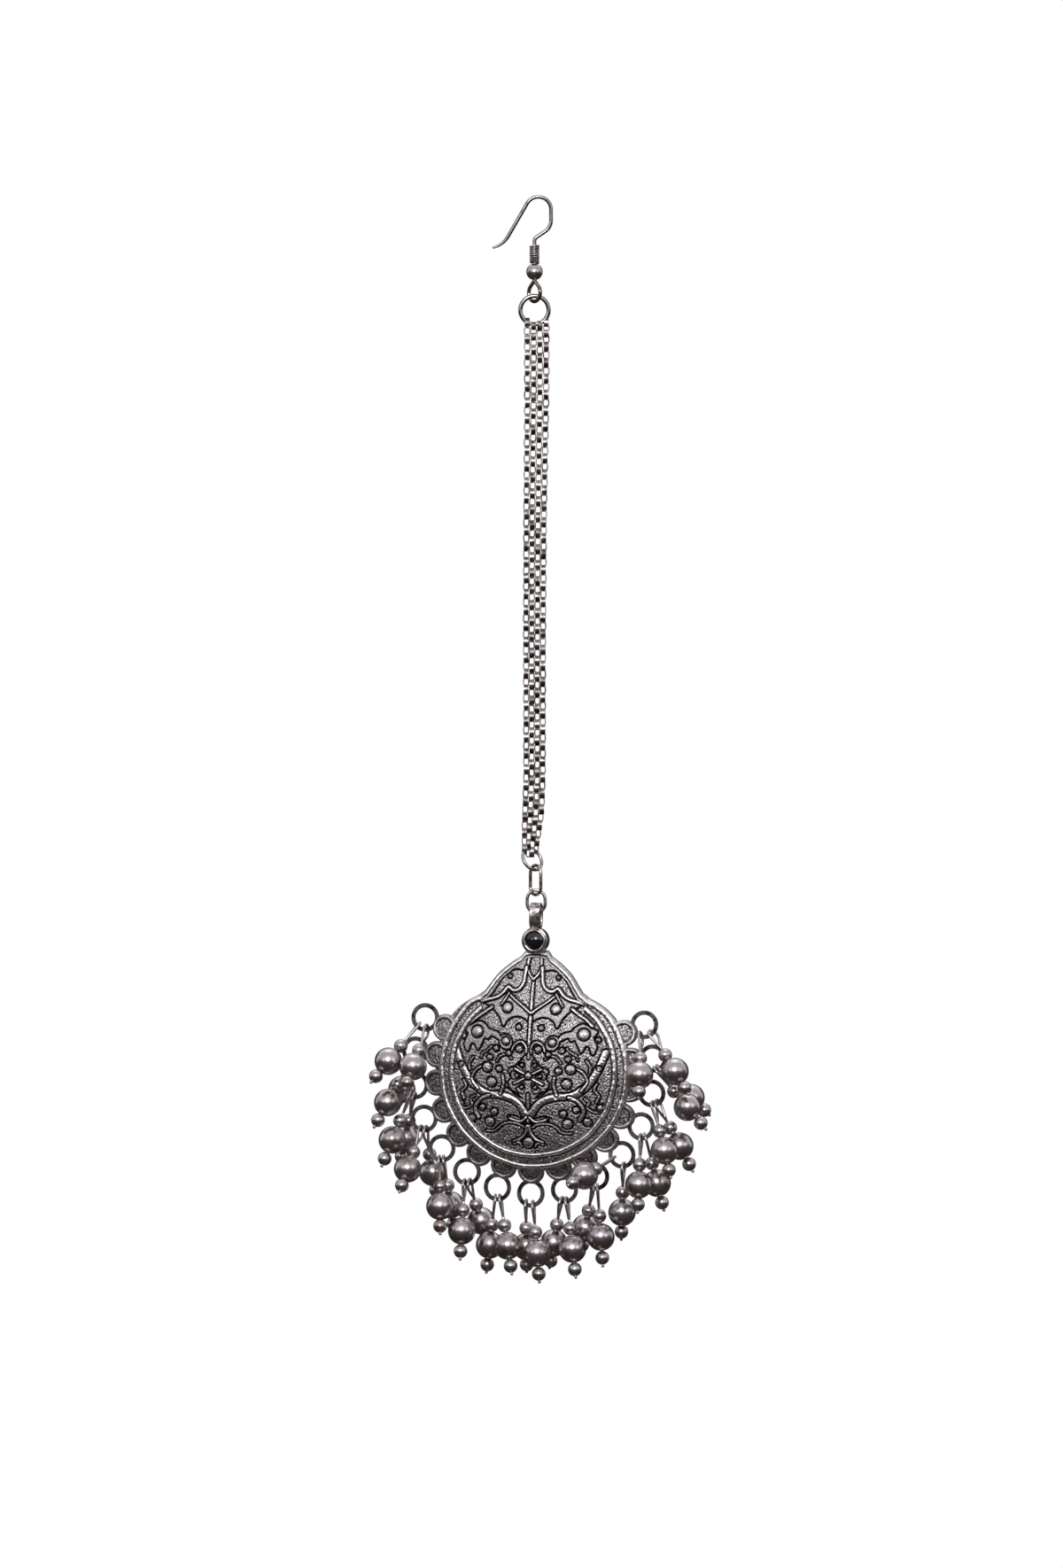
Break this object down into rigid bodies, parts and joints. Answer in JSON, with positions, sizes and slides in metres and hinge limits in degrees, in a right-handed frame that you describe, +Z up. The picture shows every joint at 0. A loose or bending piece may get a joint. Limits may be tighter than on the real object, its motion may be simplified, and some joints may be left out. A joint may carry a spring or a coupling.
{
  "type": "maang tikka",
  "caption": "Hanging forehead ornament: wire hook, woven strap chain and domed floral medallion edged with bead drops.",
  "frame": {"origin": "underside of the hook's crown, where the ornament is held up", "axes": "+Z up along the hanging line; the medallion's face looks along -Y; +X to the right of that face"},
  "size_m": [0.0618, 0.03, 0.1966],
  "materials": {
    "polished_silver": "polished bright wire",
    "chain_silver": "satin silver with dark gaps between the links",
    "oxidised_silver": "antique silver: dark grainy ground, bright worn relief",
    "bead_silver": "satin antique silver",
    "black_stone": "glossy opaque black cabochon"
  },
  "bodies": {
    "hook": {"hook_wire": "polished_silver", "hook_ball": "polished_silver", "hook_coil": "polished_silver"},
    "chain": {"top_ring": "polished_silver", "mesh_chain": "chain_silver", "gather_ring": "chain_silver", "oval_link": "chain_silver", "small_ring": "chain_silver"},
    "pendant": {"big_bead_01": "bead_silver", "big_bead_02": "bead_silver", "big_bead_03": "bead_silver", "big_bead_04": "bead_silver", "big_bead_05": "bead_silver", "big_bead_06": "bead_silver", "big_bead_07": "bead_silver", "big_bead_08": "bead_silver", "big_bead_09": "bead_silver", "big_bead_10": "bead_silver", "big_bead_11": "bead_silver", "big_bead_12": "bead_silver", "big_bead_13": "bead_silver", "big_bead_14": "bead_silver", "big_bead_15": "bead_silver", "big_bead_16": "bead_silver", "big_bead_17": "bead_silver", "big_bead_18": "bead_silver", "big_bead_19": "bead_silver", "big_bead_20": "bead_silver", "big_bead_21": "bead_silver", "big_bead_22": "bead_silver", "big_bead_23": "bead_silver", "big_bead_24": "bead_silver", "big_bead_25": "bead_silver", "big_bead_26": "bead_silver", "big_bead_27": "bead_silver", "big_bead_28": "bead_silver", "big_bead_29": "bead_silver", "big_bead_30": "bead_silver", "drop_pins_01": "bead_silver", "drop_pins_02": "bead_silver", "drop_pins_03": "bead_silver", "drop_pins_04": "bead_silver", "drop_pins_05": "bead_silver", "drop_pins_06": "bead_silver", "drop_pins_07": "bead_silver", "drop_pins_08": "bead_silver", "drop_pins_09": "bead_silver", "drop_pins_10": "bead_silver", "drop_pins_11": "bead_silver", "drop_pins_12": "bead_silver", "drop_pins_13": "bead_silver", "drop_pins_14": "bead_silver", "drop_pins_15": "bead_silver", "medallion": "oxidised_silver", "stone": "black_stone"}
  },
  "joints": [
    {"name": "chain_swing", "type": "hinge", "parent": "hook", "child": "chain", "pos_m": [-0.0001, 0, -0.01755], "axis": [1, 0, 0], "range_deg": [-60, 60]},
    {"name": "pendant_swing", "type": "hinge", "parent": "chain", "child": "pendant", "pos_m": [0.0002, 0, -0.1289], "axis": [0.989, -0.1478, 0], "range_deg": [-75, 75]}
  ]
}
